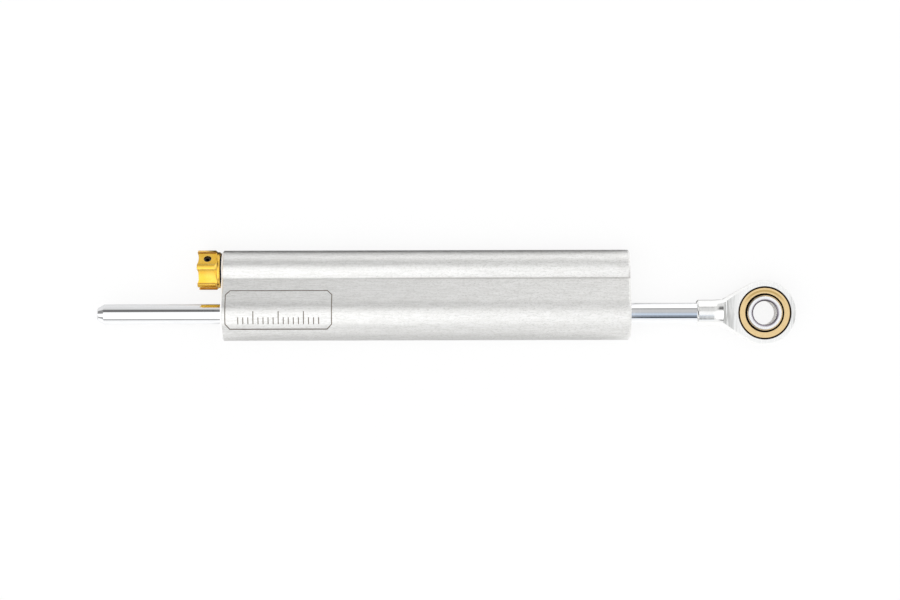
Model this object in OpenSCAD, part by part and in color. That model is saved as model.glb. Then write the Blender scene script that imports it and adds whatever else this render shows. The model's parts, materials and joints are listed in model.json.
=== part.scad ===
// Through-rod steering damper of a motorcycle, lying on its side.
// Origin: the cylinder axis at the middle of the body. +X points to the rod end,
// +Y to the adjuster lobe, +Z along the bore of the rod end's bearing.

/* [Cylinder body] */
// Length of the extruded body
body_l = 163; // [150:1:200]
// Outer radius of the cylinder lobe
main_r = 10.7; // [10.5:0.1:12]
// Outer radius of the adjuster lobe
lobe_r = 7.8; // [7.4:0.1:8.4]
// Distance between the cylinder axis and the adjuster axis
axis_gap = 17.8; // [17.4:0.1:19]
// Slope of the flat flanks that run down from the cylinder lobe to the adjuster lobe
flank_slope = 20.3; // [18:0.1:22]
// Chamfer round both ends of the body
body_chamfer = 0.8; // [0.3:0.1:0.9]

/* [Engraved setting scale] */
// Distance of the scale's frame from the left end of the body
scale_from = 2; // [1.2:0.1:20]
// Length of the frame
scale_l = 42.2; // [30:0.2:60]
// Width of the frame, round the cylinder lobe and over the flank
scale_w = 15.4; // [8:0.2:15.4]
// Shift of the frame from the top of the cylinder lobe towards the flank
scale_shift = 0.5; // [0:0.1:0.6]
// Corner cut of the frame
scale_corner = 1.8; // [1:0.1:3]
// Width of the engraved lines
line_w = 0.35; // [0.25:0.05:0.5]
// Depth of the engraved lines
line_depth = 0.2; // [0.1:0.05:0.3]
// Distance between two marks
mark_pitch = 2; // [1:0.5:4]
// Length of a mark
mark_l = 2.6; // [1.5:0.1:3]
// Length of every fifth mark
long_mark_l = 5; // [3.5:0.1:6]

/* [Cylinder bore] */
// Radius of the bore that the piston runs in
bore_r = 8.5; // [8.3:0.05:8.7]
// Step in radius from that bore to the wider bores at both ends
bore_step = 0.5; // [0.4:0.05:0.6]
// Depth of the circlip grooves below the wider bores
clip_bite = 0.6; // [0.4:0.05:0.7]
// Thickness of the internal circlips
clip_t = 1.2; // [0.8:0.1:1.5]
// Radial width of the internal circlips
clip_w = 1.7; // [1.3:0.1:1.9]
// Radius of the lugs at the circlips' ends
lug_r = 1.3; // [1.1:0.05:1.4]
// Radius of the cross ports between the bores
port_r = 1.5; // [1:0.1:1.8]

/* [Rod and piston] */
// Diameter of the chromed rod
rod_d = 8; // [7.6:0.1:8.2]
// Bare rod between the body and its free tail end
tail_l = 49.8; // [48:0.1:60]
// Bare rod between the body and the rod end
nose_l = 26.7; // [26:0.1:40]
// Travel of the rod into the body from the pose shown
travel_in = 25; // [10:1:25]
// Travel of the rod out of the body from the pose shown
travel_out = 43; // [10:1:43]
// Length of the tapered tip of the rod
tip_l = 2.7; // [1:0.1:4]
// Radius of the flat at the tip of the rod
tip_r = 2.2; // [1.5:0.1:2.8]
// Length of the piston
piston_l = 10; // [9:0.5:12]
// Width of the piston's sealing ring
piston_ring_w = 3; // [2:0.1:4]
// Depth of the counterbores that hold the piston's clips
piston_cup = 1; // [0.9:0.1:1.4]
// Thickness of the piston's clips
rod_clip_t = 0.8; // [0.5:0.1:0.8]
// Depth of the rod's grooves for those clips
rod_clip_bite = 0.4; // [0.3:0.05:0.6]

/* [Seal heads] */
// Length of a seal head, from the body's end to its inner face
head_l = 20; // [20:0.5:24]
// Length of the narrow nose of a seal head
head_nose_l = 4; // [3.5:0.1:5]
// Radius of the noses
nose_r = 7.4; // [7.2:0.1:7.5]
// Depth of the circlip below the body's end
clip_inset = 2.8; // [2:0.1:3.2]
// Depth of the head's outer face below the body's end
head_inset = 0.4; // [0.2:0.1:0.8]
// Depth of the wiper pocket
wiper_depth = 3; // [2.4:0.1:3.2]
// Radius of the wiper pocket
wiper_r = 6; // [5.6:0.1:6.1]
// Width of the rod seal
rod_seal_w = 3; // [2.4:0.1:3.2]
// Radius of the rod seal's groove
rod_seal_r = 6.2; // [5.8:0.1:6.3]
// Length of the bronze rod bushes in the heads
bush_l = 8; // [6:0.2:8.4]
// Wall of the rod bushes
bush_wall = 0.95; // [0.8:0.05:1]
// Width of the bore seals' grooves
o_ring_w = 2.2; // [1.8:0.1:2.4]
// Depth of the bore seals' grooves
o_ring_depth = 1.7; // [1.5:0.1:1.8]

/* [Bump rings] */
// How far a bump ring stands out of the nose that carries it
bump_proud = 0.8; // [0.5:0.1:1.2]
// Depth of a bump ring's seat
bump_seat = 0.8; // [0.5:0.1:1]
// Outer radius of a bump ring
bump_r = 6.1; // [5.8:0.1:6.2]
// Radial width of a bump ring
bump_w = 1.4; // [1.1:0.1:1.4]

/* [Bulkhead and compensator] */
// Length of the bulkhead's land
bulkhead_land_l = 6; // [5.6:0.1:7]
// Length of the bulkhead's bush
bulkhead_bush_l = 4.4; // [3:0.1:4.6]
// Radius of the bleed hole through the bulkhead
bleed_r = 0.4; // [0.2:0.05:0.4]
// Free length of oil between the bulkhead's clip and the floating piston
oil_l = 5; // [5:0.2:7]
// Length of the floating piston's land
float_l = 8; // [7:0.5:9]
// Length of the floating piston's spring pilot
float_pilot_l = 2.5; // [1:0.1:3]
// Wire diameter of the compensator spring
spring_wire = 1.1; // [0.8:0.05:1.1]
// Turns of the compensator spring
spring_turns = 7; // [5:1:8]

/* [Adjuster] */
// Radius of the bore that holds the valve housing
valve_bore_r = 5; // [4.8:0.1:5.2]
// How far that bore runs on past the near cross port
valve_past = 5; // [5:0.5:8]
// Radius of the gallery that runs on to the far port
gallery_r = 3; // [2.5:0.1:3.2]
// Radius of the spindle's stem
stem_r = 2.45; // [2.2:0.05:2.5]
// Radius of the spindle's metering drum
drum_r = 3.4; // [3.2:0.05:3.5]
// Length of the metering drum
drum_l = 11.5; // [11:0.1:12.5]
// Radius of the spindle's neck inside the knob
neck_r = 2; // [1.8:0.05:2.1]
// Radius of the widest end of the metering slot
meter_r = 0.9; // [0.5:0.05:1]
// Number of clicks of the adjuster
clicks = 16; // [8:1:18]
// Angle between two clicks
click_angle = 18; // [15:1:20]
// Radius of the detent ball
detent_r = 0.8; // [0.6:0.05:0.8]
// Distance of the detent ball from the adjuster's axis
detent_at = 3.75; // [3.6:0.05:3.8]

/* [Knob] */
// Length of the knob's fluted part
knob_l = 7.9; // [7:0.1:10]
// Outer radius of the knob
knob_r = 8.1; // [7.8:0.1:8.4]
// Number of teeth round the knob
knob_teeth = 6; // [5:1:7]
// Width of a tooth as an angle
tooth_angle = 14.6; // [12:0.2:18]
// Height of the teeth's side walls
tooth_wall = 0.4; // [0.2:0.05:0.6]
// Depth of the flutes
flute_depth = 1.3; // [1.1:0.05:1.3]
// How far the tips of the teeth stand out of the knob's outer end
tooth_tip = 0.55; // [0.2:0.05:0.6]
// Chamfer at the inner ends of the teeth
tooth_chamfer = 0.7; // [0.3:0.1:0.9]
// Turn of the first tooth from straight up, towards +Y
knob_phase = 9; // [0:1:59]
// Length of the round flange behind the teeth
flange_l = 1.1; // [0.8:0.1:2]
// Radius of that flange
flange_r = 7.2; // [6.8:0.1:7.3]
// Depth of the dished outer face
dish_depth = 1.2; // [0.8:0.1:1.6]
// Rim between the dish and the teeth's outer circle
dish_rim = 1.5; // [1.3:0.1:2]
// Thickness of the black washer behind the knob
washer_t = 0.6; // [0.4:0.1:0.8]
// Outer radius of that washer
washer_r = 6.7; // [6.4:0.1:6.8]
// Radius of the knob's set screw
grub_r = 1.5; // [1.25:0.05:1.6]
// Distance of the set screw from the knob's outer end
grub_at = 4.1; // [3.8:0.1:4.6]
// Length of the set screw
grub_l = 4.4; // [3:0.2:4.8]

/* [Gallery plug] */
// Radius of the plug
plug_r = 4.5; // [4.3:0.1:4.8]
// Length of the plug
plug_l = 11; // [9:0.5:14]
// Depth of the plug's outer face below the body's end
plug_inset = 0.5; // [0.3:0.1:1]
// Width across flats of the plug's hexagon socket
plug_key = 4; // [3:0.5:5]
// Depth of that socket
plug_key_depth = 3.2; // [2.4:0.2:4]

/* [Rod end] */
// Radius of the rod end's neck
neck_end_r = 5.2; // [5:0.1:5.5]
// Length of the straight neck
neck_end_l = 6.4; // [6:0.2:9]
// Length of the hollow flare between the neck and the eye
flare_l = 3.8; // [2.8:0.2:4]
// Rise of the flare in radius
flare_rise = 0.4; // [0.3:0.1:0.8]
// Distance from the start of the neck to the centre of the eye
eye_at = 26.8; // [26:0.1:30]
// Radius of the turned ball that the eye is milled from
eye_r = 13; // [12.6:0.1:14]
// Thickness of the eye between its milled flats
eye_t = 8.4; // [8.2:0.1:9]
// How far the rod reaches into the rod end
thread_l = 11.4; // [8:0.2:12]

/* [Spherical bearing] */
// Outer radius of the race
race_r = 10.32; // [10.2:0.01:10.4]
// Width of the race
race_w = 7.92; // [7.6:0.01:8.1]
// Radius of the ball
ball_r = 8.33; // [8.25:0.01:8.4]
// Width of the ball
ball_w = 10.3; // [10:0.05:10.6]
// Diameter of the ball's bore
eye_bore_d = 9.525; // [9.3:0.005:9.6]
// Chamfer of that bore
ball_chamfer = 0.6; // [0.4:0.05:0.7]

/* [Clearances] */
// Radial clearance of pieces that run in or on each other
run_gap = 0.05; // [0.03:0.01:0.08]
// Radial clearance of pieces that are fitted together and stay still
seat_gap = 0.03; // [0.02:0.01:0.05]
// Wide clearance round the rod where nothing guides it
free_gap = 0.3; // [0.2:0.05:0.4]
// Gap that is left to the bump rings at the ends of the stroke
stop_gap = 0.3; // [0.3:0.1:0.6]

/* [Hidden] */
$fn = 96;

// Edge breaks of turned pieces, from thin lips to the edges that lead a piece in
lip_edge = 0.2;
edge = 0.3;
outer_edge = 0.4;
lead_edge = 0.5;
// A ring's play at each side of its groove, and how much of its section is rounded
ring_play = 0.1;
ring_rounding = 0.3;

rod_r = rod_d / 2;
half_l = body_l / 2;
wide_r = bore_r + bore_step;
clip_groove_r = wide_r + clip_bite;
// The lugs stand in towards the axis from the circlip's inner edge
lug_sink = 0.4;
clip_in_r = clip_groove_r - clip_w;
lug_hole_r = 0.5;
lug_room = 0.2;
boss_r = clip_in_r + lug_sink - lug_r - lug_room;
// Where the flanks touch the cylinder lobe, and the creases where they end in the adjuster lobe
flank_y = main_r * sin(flank_slope);
flank_z = main_r * cos(flank_slope);
flank_drop = main_r - axis_gap * sin(flank_slope);
flank_chord = sqrt(lobe_r * lobe_r - flank_drop * flank_drop);
flank_l = axis_gap * cos(flank_slope) - flank_chord;
crease_y = flank_y + flank_l * cos(flank_slope);
crease_z = flank_z - flank_l * sin(flank_slope);
// The body lies on the cylinder lobe and on the knob, so it leans about its own axis
lean = asin((main_r - knob_r) / axis_gap);

rod_bore_r = rod_r + free_gap;
bush_r = rod_r + run_gap + bush_wall;
o_ring_floor = wide_r - o_ring_depth;

// Walls of the seal head beside its rod seal and its bush
seal_wall = 1.2;
bush_wall_end = 0.6;

// Places along the bore, counted from the body's end inwards
land_start = clip_inset + clip_t;
land_end = head_l - head_nose_l;
rod_seal_at = land_start + seal_wall;
head_o_ring_at = (land_start + land_end) / 2;
bush_at = head_l - bump_seat - bush_wall_end - bush_l;

// Places along the cylinder axis, from left to right
stop_left = -half_l + head_l + bump_proud;
piston_x = stop_left + stop_gap + travel_in + piston_l / 2;
stop_right = piston_x + piston_l / 2 + travel_out + stop_gap;
bulkhead_x = stop_right + bump_proud;
bulkhead_land_x = bulkhead_x + head_nose_l;
bulkhead_end_x = bulkhead_land_x + bulkhead_land_l;
float_x = bulkhead_end_x + clip_t + oil_l;
float_end_x = float_x + float_l;
spring_end_x = half_l - land_end;
rod_end_x = half_l + nose_l;
eye_x = rod_end_x + eye_at;
port_left_x = -half_l + land_end + head_nose_l / 2;
port_right_x = bulkhead_x + head_nose_l / 2;

// Floors of the grooves for the rings on and in the pistons
piston_ring_t = 1.5;
piston_play = 0.08;
piston_cup_wall = 1.9;
rod_clip_wall = 1.3;
rod_clip_mouth = 3.2;
rod_clip_play = 0.02;
piston_ring_floor = bore_r - piston_ring_t;
rod_groove_depth = 0.8;
rod_groove_half = 0.8;
rod_groove_r = rod_r - rod_groove_depth;
float_groove_r = rod_r + o_ring_depth;

// The compensator spring fits round the noses and inside the wide bore
spring_play = 0.12;
pilot_play = 0.1;
spring_in_r = nose_r + spring_play;
spring_mid_r = spring_in_r + spring_wire / 2;

// Places along the adjuster's axis
valve_end_x = port_left_x + valve_past;
valve_floor = 1.5;
drum_end_x = valve_end_x - valve_floor;
drum_x = drum_end_x - drum_l;
knob_x = -half_l - washer_t - run_gap;
knob_end_x = knob_x - flange_l - knob_l;
grub_x = knob_end_x + grub_at;
valve_groove_half = 2;
valve_ring_w = 1.6;
valve_ring_depth = 0.9;
valve_ring_floor = valve_bore_r - valve_ring_depth;
// Lands between the oil groove and the rings beside it
valve_land_out = 1.9;
valve_land_in = 1.5;
oil_groove_wall = 0.75;
spindle_groove_half = 0.8;
spindle_groove_depth = 0.8;
spindle_groove_r = stem_r - spindle_groove_depth;
chamber_r = drum_r + run_gap;
drum_wall = 1.8;
// The spindle's holes, each smaller than the last by a share of the first
meter_holes = 5;
meter_fall = 0.16;
stem_bore_r = stem_r + run_gap;
spindle_ring_x = (-half_l + drum_x) / 2 + 1;
plug_end_x = half_l - plug_inset;
plug_x = plug_end_x - plug_l;
plug_ring_at = 1.6;
plug_ring_x = plug_x + plug_ring_at;
plug_groove_half = 0.9;
plug_groove_depth = 1.1;
plug_groove_r = plug_r - plug_groove_depth;
detent_depth = 5;
// The detent ball stands out of the housing and into the knob's dimples
detent_proud = 0.1;
detent_wire = 0.3;
detent_turns = 6;
detent_spring_in = 0.25;
detent_spring_r = detent_r - detent_spring_in;
detent_x = -half_l + detent_proud;

// The flat land of the knob that holds the set screw replaces one flute
flute_span = 360 / knob_teeth - tooth_angle;
flute_edge_x = knob_r * cos(flute_span / 2);
flute_edge_y = knob_r * sin(flute_span / 2);
flute_wall_x = flute_edge_x - tooth_wall;
flute_floor = knob_r - flute_depth;
// The core that joins the teeth to the flange
root_step = 0.6;
detent_room = 0.12;
flute_sag = flute_wall_x - flute_floor;
flute_cut_r = (flute_edge_y * flute_edge_y + flute_sag * flute_sag) / (2 * flute_sag);
grub_angle = knob_phase + 180 / knob_teeth;

flare_r = (flare_l * flare_l + flare_rise * flare_rise) / (2 * flare_rise);
cone_r = neck_end_r + flare_rise;
cone_x = rod_end_x + neck_end_l + flare_l;
cone_reach = eye_x - cone_x;
// The cone of the rod end runs on until it is tangent to the eye's ball
tangent_angle = atan2(cone_r, -cone_reach)
    - acos(eye_r / sqrt(cone_reach * cone_reach + cone_r * cone_r));
race_seat_r = race_r + seat_gap;

// Turns a profile of [radius, x] points about the X axis
module turned(profile) {
    rotate([0, 90, 0])
        rotate_extrude()
            polygon(profile);
}

// A plain ring about the X axis
module ring(x0, x1, in_r, out_r) {
    turned([[in_r, x0], [out_r, x0], [out_r, x1], [in_r, x1]]);
}

// A ring with a rounded section, such as an O-ring squeezed in its groove
module seal_ring(x0, x1, in_r, out_r) {
    soft = ring_rounding * min(x1 - x0, out_r - in_r);
    rotate([0, 90, 0])
        rotate_extrude()
            union() {
                translate([in_r, x0 + soft])
                    square([out_r - in_r, x1 - x0 - 2 * soft]);
                translate([in_r + soft, x0])
                    square([out_r - in_r - 2 * soft, x1 - x0]);
                for (r = [in_r + soft, out_r - soft])
                    for (x = [x0 + soft, x1 - soft])
                        translate([r, x])
                            circle(soft, $fn = 24);
            }
}

// A solid round bar along X, used for bores too
module bar(x0, x1, r) {
    translate([x0, 0, 0])
        rotate([0, 90, 0])
            cylinder(h = x1 - x0, r = r);
}

// A round bar along X with chamfered ends
module chamfered_bar(x0, x1, r, c) {
    turned([
        [0, x0], [r - c, x0], [r, x0 + c],
        [r, x1 - c], [r - c, x1], [0, x1]
    ]);
}

module leaning() {
    rotate([-lean, 0, 0])
        children();
}

module on_adjuster_axis() {
    leaning()
        translate([0, axis_gap, 0])
            children();
}

// Places a child that is drawn from the body's end inwards
module at_left_end() {
    translate([-half_l, 0, 0])
        children();
}

module at_right_end() {
    mirror([1, 0, 0])
        at_left_end()
            children();
}

// Turns a child on the adjuster's axis from straight up to an angle towards +Y
module at_knob_angle(angle) {
    rotate([lean - angle, 0, 0])
        children();
}

// An internal circlip with two lugs, its gap turned towards -Z
module internal_circlip(x, t, out_r, w) {
    lug_angle = 14;
    in_r = out_r - w;
    translate([x, 0, 0])
        rotate([0, 90, 0])
            linear_extrude(t)
                difference() {
                    union() {
                        difference() {
                            circle(out_r);
                            circle(in_r);
                        }
                        for (side = [-1, 1])
                            rotate([0, 0, side * lug_angle])
                                translate([in_r + lug_sink, 0])
                                    circle(lug_r, $fn = 32);
                    }
                    polygon([
                        [0, 0],
                        [2 * out_r, 2 * out_r * tan(lug_angle / 2)],
                        [2 * out_r, -2 * out_r * tan(lug_angle / 2)]
                    ]);
                    for (side = [-1, 1])
                        rotate([0, 0, side * lug_angle])
                            translate([in_r + lug_sink, 0])
                                circle(lug_hole_r, $fn = 24);
                }
}

// A wire wound along X as one unbroken tube
module coil(x0, x1, mid_r, wire, turns, steps, sides) {
    rings = turns * steps;
    points = [
        for (i = [0 : rings])
            for (k = [0 : sides - 1])
                let (
                    turn = 360 * i / steps,
                    around = 360 * k / sides,
                    r = mid_r + wire / 2 * cos(around),
                    x = x0 + wire / 2 + (x1 - x0 - wire) * i / rings
                )
                [x + wire / 2 * sin(around), r * cos(turn), r * sin(turn)]
    ];
    skin = [
        for (i = [0 : rings - 1])
            for (k = [0 : sides - 1])
                let (
                    a = i * sides + k,
                    b = i * sides + (k + 1) % sides
                )
                each [
                    [a, b, a + sides],
                    [b, b + sides, a + sides]
                ]
    ];
    first = [for (k = [1 : sides - 2]) [0, k + 1, k]];
    last = [
        for (k = [1 : sides - 2])
            [rings * sides, rings * sides + k, rings * sides + k + 1]
    ];
    polyhedron(points = points, faces = concat(skin, first, last), convexity = 10);
}

// Everything that is bored or grooved along the cylinder axis
module cylinder_bores() {
    bar(-half_l - 1, half_l + 1, bore_r);
    bar(-half_l - 1, -half_l + land_end, wide_r);
    bar(bulkhead_land_x, half_l + 1, wide_r);
    for (side = [0, 1])
        mirror([side, 0, 0])
            ring(-half_l + clip_inset - seat_gap, -half_l + land_start + seat_gap, 0, clip_groove_r);
    ring(bulkhead_end_x - seat_gap, bulkhead_end_x + clip_t + seat_gap, 0, clip_groove_r);
}

// Everything that is bored along the adjuster's axis, and the two cross ports
module adjuster_bores() {
    bar(-half_l - 1, valve_end_x, valve_bore_r);
    bar(valve_end_x - 1, half_l, gallery_r);
    bar(plug_x - seat_gap, half_l + 1, plug_r);
    for (x = [port_left_x, port_right_x])
        translate([x, -axis_gap + bore_r - 1, 0])
            rotate([-90, 0, 0])
                cylinder(h = axis_gap - bore_r + 1, r = port_r);
}

// Fills the space between the lobes, and is chamfered as they are
module web() {
    difference() {
        rotate([90, 0, 90])
            linear_extrude(body_l, center = true)
                polygon([
                    [flank_y, flank_z], [crease_y, crease_z],
                    [crease_y, -crease_z], [flank_y, -flank_z]
                ]);
        for (end = [0, 1])
            for (side = [0, 1])
                mirror([end, 0, 0])
                    mirror([0, 0, side])
                        rotate([-flank_slope, 0, 0])
                            translate([half_l, 0, main_r - body_chamfer])
                                rotate([0, -45, 0])
                                    translate([0, -main_r, -main_r / 2])
                                        cube([main_r, 3 * main_r, main_r]);
    }
}

// The outline of the scale's frame, drawn flat, grown or shrunk by a margin
module scale_outline(margin) {
    half_x = scale_l / 2 + margin;
    half_y = scale_w / 2 + margin;
    cut = scale_corner + margin * (2 - sqrt(2));
    polygon([
        [-half_x, cut - half_y], [-half_x, half_y - cut], [cut - half_x, half_y],
        [half_x - cut, half_y], [half_x, half_y - cut], [half_x, cut - half_y],
        [half_x - cut, -half_y], [cut - half_x, -half_y]
    ]);
}

// A cut-cornered frame round a row of plain marks, to set the clamp by
module scale_lines() {
    mark_count = floor((scale_l / 2 - 2 * scale_corner) / mark_pitch);
    difference() {
        scale_outline(line_w / 2);
        scale_outline(-line_w / 2);
    }
    for (i = [-mark_count : mark_count])
        let (l = i % 5 == 0 ? long_mark_l : mark_l)
            translate([i * mark_pitch - line_w / 2, -scale_w / 2 + scale_corner])
                square([line_w, l]);
}

// The lines go down to one depth below the cylinder lobe and below its flank
module engraving() {
    floor_r = main_r - line_depth;
    difference() {
        translate([scale_l / 2 + scale_from - half_l, scale_shift, 0])
            linear_extrude(main_r + 1)
                scale_lines();
        bar(-half_l - 1, half_l + 1, floor_r);
        rotate([-flank_slope, 0, 0])
            translate([-half_l - 1, 0, 0])
                cube([body_l + 2, flank_l, floor_r]);
    }
}

module cylinder_body() {
    color([0.80, 0.80, 0.79])
        leaning()
            difference() {
                union() {
                    chamfered_bar(-half_l, half_l, main_r, body_chamfer);
                    translate([0, axis_gap, 0])
                        chamfered_bar(-half_l, half_l, lobe_r, body_chamfer);
                    web();
                }
                engraving();
                cylinder_bores();
                translate([0, axis_gap, 0])
                    adjuster_bores();
            }
}

// A seal head, drawn from the body's end inwards
module seal_head() {
    land_r = wide_r - seat_gap;
    color([0.62, 0.63, 0.65])
        difference() {
            turned([
                [0, head_inset],
                [boss_r - outer_edge, head_inset],
                [boss_r, head_inset + outer_edge],
                [boss_r, land_start],
                [land_r - edge, land_start],
                [land_r, land_start + edge],
                [land_r, head_o_ring_at - o_ring_w / 2],
                [o_ring_floor, head_o_ring_at - o_ring_w / 2],
                [o_ring_floor, head_o_ring_at + o_ring_w / 2],
                [land_r, head_o_ring_at + o_ring_w / 2],
                [land_r, land_end - edge],
                [land_r - edge, land_end],
                [nose_r, land_end],
                [nose_r, head_l - edge],
                [nose_r - edge, head_l],
                [0, head_l]
            ]);
            bar(-1, head_l + 1, rod_bore_r);
            bar(-1, head_inset + wiper_depth, wiper_r);
            bar(rod_seal_at, rod_seal_at + rod_seal_w, rod_seal_r);
            bar(bush_at - seat_gap, bush_at + bush_l + seat_gap, bush_r + seat_gap);
        }
}

// The seat that a bump ring is pressed into, at the inner face of a nose
module bump_ring_seat(face) {
    ring(face - bump_seat, face + 1, bump_r - bump_w - seat_gap, bump_r + seat_gap);
}

module seal_head_left() {
    color([0.62, 0.63, 0.65])
        difference() {
            at_left_end()
                seal_head();
            at_left_end()
                bump_ring_seat(head_l);
        }
}

module seal_head_right() {
    at_right_end()
        seal_head();
}

module rod_bush(x, l) {
    color([0.72, 0.55, 0.28])
        ring(x, x + l, rod_r + run_gap, bush_r);
}

module rod_bush_left() {
    at_left_end()
        rod_bush(bush_at, bush_l);
}

module rod_bush_right() {
    at_right_end()
        rod_bush(bush_at, bush_l);
}

// A lip seal with its open groove towards the oil
module rod_seal() {
    in_r = rod_r + run_gap;
    out_r = rod_seal_r - seat_gap;
    x0 = rod_seal_at + seat_gap;
    x1 = rod_seal_at + rod_seal_w - seat_gap;
    mid = (in_r + out_r) / 2;
    lip_depth = 1.1;
    color([0.16, 0.17, 0.20])
        turned([
            [in_r, x0 + edge], [in_r + edge, x0], [out_r - lip_edge, x0], [out_r, x0 + lip_edge],
            [out_r, x1 - edge], [out_r - edge, x1], [mid + edge, x1],
            [mid, x1 - lip_depth], [mid - edge, x1], [in_r + lip_edge, x1], [in_r, x1 - edge]
        ]);
}

module rod_seal_left() {
    at_left_end()
        rod_seal();
}

module rod_seal_right() {
    at_right_end()
        rod_seal();
}

// A wiper whose lip leans out along the rod
module wiper() {
    in_r = rod_r + run_gap;
    out_r = wiper_r - seat_gap;
    // The lip rises from the root to its tip and falls back to the wiper's shoulder
    tip_x = 0.2;
    root_x = 0.9;
    tip_rise = 0.35;
    back_rise = 0.75;
    shoulder_x = 1.6;
    shoulder_rise = 0.9;
    relief_x = 1.8;
    relief_rise = 0.5;
    x1 = head_inset + wiper_depth - seat_gap;
    color([0.10, 0.10, 0.11])
        turned([
            [in_r, root_x], [in_r + tip_rise, tip_x], [in_r + back_rise, root_x],
            [in_r + shoulder_rise, shoulder_x],
            [out_r - edge, head_inset + outer_edge], [out_r, head_inset + outer_edge + edge],
            [out_r, x1], [in_r + relief_rise, x1], [in_r + relief_rise, relief_x]
        ]);
}

module wiper_left() {
    at_left_end()
        wiper();
}

module wiper_right() {
    at_right_end()
        wiper();
}

module bore_o_ring(x) {
    color([0.12, 0.12, 0.13])
        seal_ring(
            x - o_ring_w / 2 + ring_play, x + o_ring_w / 2 - ring_play,
            o_ring_floor + seat_gap, wide_r - seat_gap
        );
}

module head_o_ring_left() {
    at_left_end()
        bore_o_ring(head_o_ring_at);
}

module head_o_ring_right() {
    at_right_end()
        bore_o_ring(head_o_ring_at);
}

module head_circlip() {
    color([0.30, 0.31, 0.33])
        internal_circlip(clip_inset, clip_t, clip_groove_r - seat_gap, clip_w);
}

module head_circlip_left() {
    at_left_end()
        head_circlip();
}

module head_circlip_right() {
    at_right_end()
        head_circlip();
}

module bump_ring(face) {
    color([0.20, 0.20, 0.22])
        seal_ring(face - bump_seat, face + bump_proud, bump_r - bump_w, bump_r);
}

module bump_ring_left() {
    at_left_end()
        bump_ring(head_l);
}

module bump_ring_right() {
    translate([bulkhead_x, 0, 0])
        mirror([1, 0, 0])
            bump_ring(0);
}

module bulkhead() {
    land_r = wide_r - seat_gap;
    mid = (bulkhead_land_x + bulkhead_end_x) / 2;
    color([0.62, 0.63, 0.65])
        difference() {
            turned([
                [0, bulkhead_x],
                [nose_r - edge, bulkhead_x],
                [nose_r, bulkhead_x + edge],
                [nose_r, bulkhead_land_x],
                [land_r, bulkhead_land_x],
                [land_r, mid - o_ring_w / 2],
                [o_ring_floor, mid - o_ring_w / 2],
                [o_ring_floor, mid + o_ring_w / 2],
                [land_r, mid + o_ring_w / 2],
                [land_r, bulkhead_end_x],
                [0, bulkhead_end_x]
            ]);
            bar(bulkhead_x - 1, bulkhead_end_x + 1, rod_bore_r);
            bar(bulkhead_end_x - bulkhead_bush_l - seat_gap, bulkhead_end_x + 1, bush_r + seat_gap);
            translate([bulkhead_x, 0, 0])
                mirror([1, 0, 0])
                    bump_ring_seat(0);
            translate([0, 0, (bump_r + nose_r) / 2])
                bar(bulkhead_x - 1, bulkhead_end_x + 1, bleed_r);
        }
}

module bulkhead_bush() {
    rod_bush(bulkhead_end_x - bulkhead_bush_l, bulkhead_bush_l);
}

module bulkhead_o_ring() {
    bore_o_ring((bulkhead_land_x + bulkhead_end_x) / 2);
}

module bulkhead_circlip() {
    color([0.30, 0.31, 0.33])
        internal_circlip(bulkhead_end_x, clip_t, clip_groove_r - seat_gap, clip_w);
}

module floating_piston() {
    land_r = wide_r - run_gap;
    pilot_r = nose_r - pilot_play;
    mid = (float_x + float_end_x) / 2;
    color([0.66, 0.66, 0.68])
        difference() {
            turned([
                [0, float_x],
                [land_r - outer_edge, float_x],
                [land_r, float_x + outer_edge],
                [land_r, mid - o_ring_w / 2],
                [o_ring_floor, mid - o_ring_w / 2],
                [o_ring_floor, mid + o_ring_w / 2],
                [land_r, mid + o_ring_w / 2],
                [land_r, float_end_x],
                [pilot_r, float_end_x],
                [pilot_r, float_end_x + float_pilot_l - edge],
                [pilot_r - edge, float_end_x + float_pilot_l],
                [0, float_end_x + float_pilot_l]
            ]);
            bar(float_x - 1, float_end_x + float_pilot_l + 1, rod_r + run_gap);
            bar(mid - o_ring_w / 2, mid + o_ring_w / 2, float_groove_r);
        }
}

module float_o_ring_outer() {
    mid = (float_x + float_end_x) / 2;
    color([0.12, 0.12, 0.13])
        seal_ring(
            mid - o_ring_w / 2 + ring_play, mid + o_ring_w / 2 - ring_play,
            o_ring_floor + seat_gap, wide_r - seat_gap
        );
}

module float_o_ring_inner() {
    mid = (float_x + float_end_x) / 2;
    color([0.12, 0.12, 0.13])
        seal_ring(
            mid - o_ring_w / 2 + ring_play, mid + o_ring_w / 2 - ring_play,
            rod_r + seat_gap, float_groove_r - seat_gap
        );
}

module compensator_spring() {
    color([0.42, 0.43, 0.46])
        coil(
            float_end_x + seat_gap, spring_end_x - seat_gap,
            spring_mid_r, spring_wire, spring_turns, 14, 6
        );
}

module piston() {
    out_r = bore_r - piston_play;
    x0 = piston_x - piston_l / 2;
    x1 = piston_x + piston_l / 2;
    groove = piston_ring_w / 2;
    color([0.70, 0.70, 0.72])
        difference() {
            turned([
                [0, x0], [out_r - lead_edge, x0], [out_r, x0 + lead_edge],
                [out_r, piston_x - groove], [piston_ring_floor, piston_x - groove],
                [piston_ring_floor, piston_x + groove], [out_r, piston_x + groove],
                [out_r, x1 - lead_edge], [out_r - lead_edge, x1], [0, x1]
            ]);
            bar(x0 - 1, x1 + 1, rod_r + run_gap);
            bar(x0 - 1, x0 + piston_cup, rod_r + piston_cup_wall);
            bar(x1 - piston_cup, x1 + 1, rod_r + piston_cup_wall);
        }
}

module piston_ring() {
    half_w = piston_ring_w / 2 - run_gap;
    color([0.35, 0.27, 0.20])
        ring(piston_x - half_w, piston_x + half_w, piston_ring_floor + seat_gap, bore_r - run_gap);
}

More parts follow.
